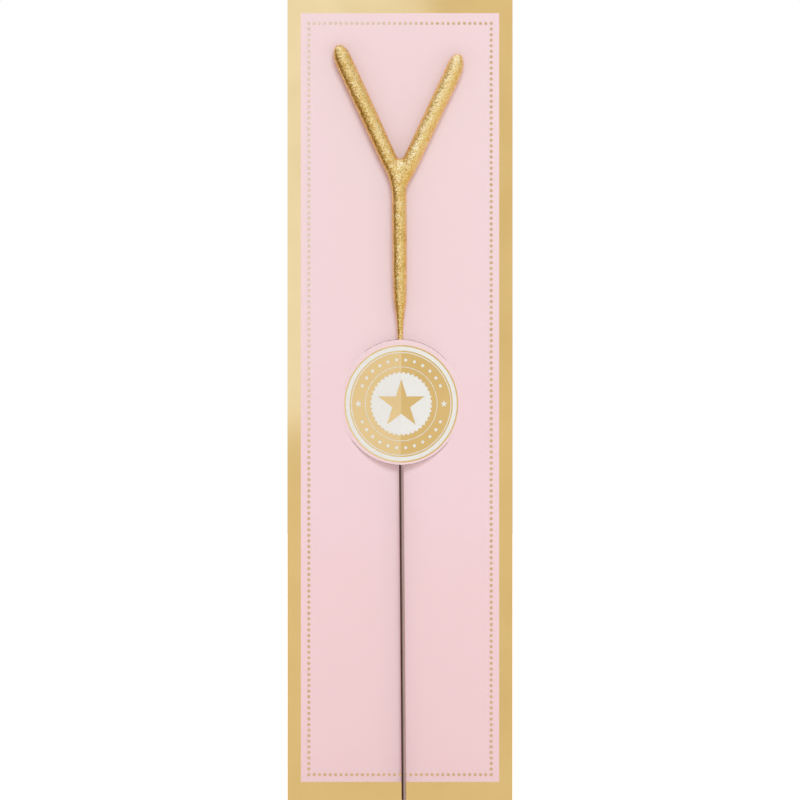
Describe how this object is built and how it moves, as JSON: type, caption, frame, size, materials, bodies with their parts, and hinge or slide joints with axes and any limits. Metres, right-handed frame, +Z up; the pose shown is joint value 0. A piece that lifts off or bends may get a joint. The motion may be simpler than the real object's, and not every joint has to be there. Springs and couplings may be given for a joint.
{
  "type": "hand-held sparkler on a card",
  "caption": "Forked hand-held sparkler with a grainy gold coat on bare steel wire, held on a narrow gold-edged pink card by a tented round die-cut strap.",
  "frame": {"origin": "middle of the card's bottom edge, on its back face", "axes": "+Z up along the card, +Y out of the card's back, so the printed front faces -Y and +X is to the viewer's right"},
  "size_m": [0.059, 0.0052, 0.21],
  "materials": {
    "steel_wire": "bare drawn steel wire",
    "sparkler_mix": "dull grey dried mix",
    "gold_paint": "grainy metallic gold paint",
    "white_board": "matte white board",
    "pink_print": "matte pale pink print",
    "gold_foil": "satin gold metallised foil"
  },
  "bodies": {
    "card": {"card_board": "white_board", "strap": "white_board", "card_print": "pink_print", "strap_print": "pink_print", "border_foil": "gold_foil", "dot_foil": "gold_foil", "rim_foil": "gold_foil", "line_foil": "gold_foil", "band_foil": "gold_foil", "seal_foil": "gold_foil", "star_foil": "gold_foil"},
    "sparkler": {"stem_wire": "steel_wire", "branch_wire": "steel_wire", "composition": "sparkler_mix", "gold_paint": "gold_paint"}
  },
  "joints": [
    {"name": "pull_out", "type": "slide", "parent": "card", "child": "sparkler", "axis": [-0.0079, 0, 1], "range_m": [0, 0.125]}
  ]
}
